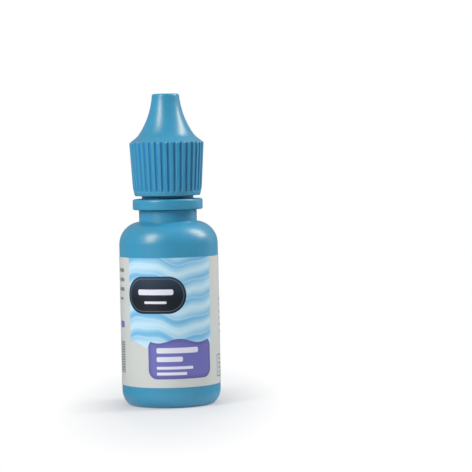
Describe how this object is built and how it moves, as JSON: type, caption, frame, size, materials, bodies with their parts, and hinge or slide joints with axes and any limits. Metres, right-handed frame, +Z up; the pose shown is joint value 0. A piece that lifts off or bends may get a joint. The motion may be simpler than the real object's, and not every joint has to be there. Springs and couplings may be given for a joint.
{
  "type": "eye drop bottle",
  "caption": "Small round squeeze bottle with a shoulder and neck, a pressed-in dropper tip, a ribbed screw cap with a tall hollow-sided nose, a loose tamper-evident ring and a wrap label.",
  "frame": {"origin": "centre of the foot, on the surface that the bottle stands on", "axes": "+Z up the bottle's axis towards the cap, -Y out of the label's front, +X to the right of someone who looks at the label"},
  "size_m": [0.0244, 0.0244, 0.0761],
  "materials": {
    "body_plastic": "satin low-density polyethylene, dyed turquoise",
    "cap_plastic": "satin moulded plastic, dyed turquoise",
    "ring_plastic": "satin moulded plastic, dyed turquoise",
    "tip_plastic": "milky natural polyethylene",
    "label_paper": "printed, semi-matt coated",
    "solution": "clear watery liquid"
  },
  "bodies": {
    "bottle": {"bottle_body": "body_plastic", "dropper_tip": "tip_plastic", "label": "label_paper", "eye_drop_solution": "solution"},
    "ring": {"tamper_evident_ring": "ring_plastic"},
    "cap": {"screw_cap": "cap_plastic"}
  },
  "joints": [
    {"name": "cap_turn", "type": "hinge", "parent": "bottle", "child": "ring", "pos_m": [0, 0, 0.0491], "axis": [0, 0, 1], "range_deg": [0, 3780]},
    {"name": "cap_lift", "type": "slide", "parent": "ring", "child": "cap", "axis": [0, 0, 1], "range_m": [0, 0.0223]}
  ],
  "couplings": [
    {"joint": "cap_lift", "follows": "cap_turn", "m_per_rad": 0.00033741}
  ]
}
